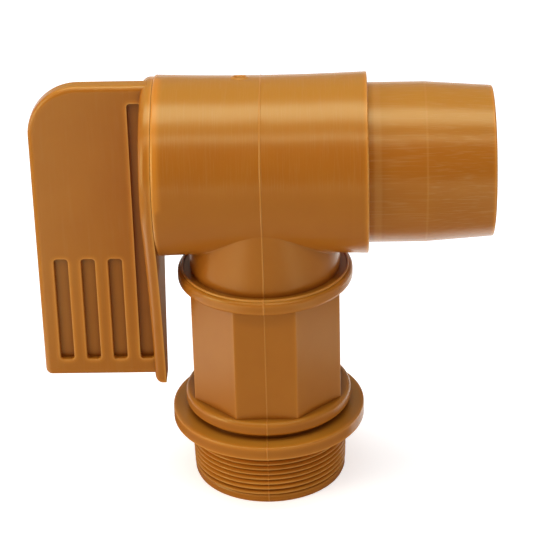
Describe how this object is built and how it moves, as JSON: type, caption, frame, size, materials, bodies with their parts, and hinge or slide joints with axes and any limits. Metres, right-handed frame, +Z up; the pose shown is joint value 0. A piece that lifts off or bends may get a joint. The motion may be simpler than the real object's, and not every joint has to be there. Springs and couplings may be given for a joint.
{
  "type": "drum tap",
  "caption": "Plastic drum tap with a threaded inlet, a flange and a wrench octagon, a hollow turning plug that ends in a plain spout, and a lever handle with a ribbed grip.",
  "frame": {"origin": "centre of the inlet's mouth, on the end face of the threaded end", "axes": "+Z up the inlet axis to the barrel, +X along the barrel towards the spout, the lever points along -Z when the tap is closed"},
  "size_m": [0.1701, 0.074, 0.1624],
  "materials": {
    "tan_polyethylene": "moulded, semi-gloss",
    "white_acetal": "moulded",
    "seal_rubber": "moulded, matt"
  },
  "bodies": {
    "tap_body": {"body": "tan_polyethylene", "retaining_ring": "white_acetal"},
    "plug_and_handle": {"plug": "tan_polyethylene", "handle": "tan_polyethylene", "handle_pins": "white_acetal", "handle_end_o_ring": "seal_rubber", "spout_end_o_ring": "seal_rubber", "port_seal": "seal_rubber"}
  },
  "joints": [
    {"name": "handle_turn", "type": "hinge", "parent": "tap_body", "child": "plug_and_handle", "pos_m": [0, 0, 0.129], "axis": [1, 0, 0], "range_deg": [0, 90]}
  ]
}
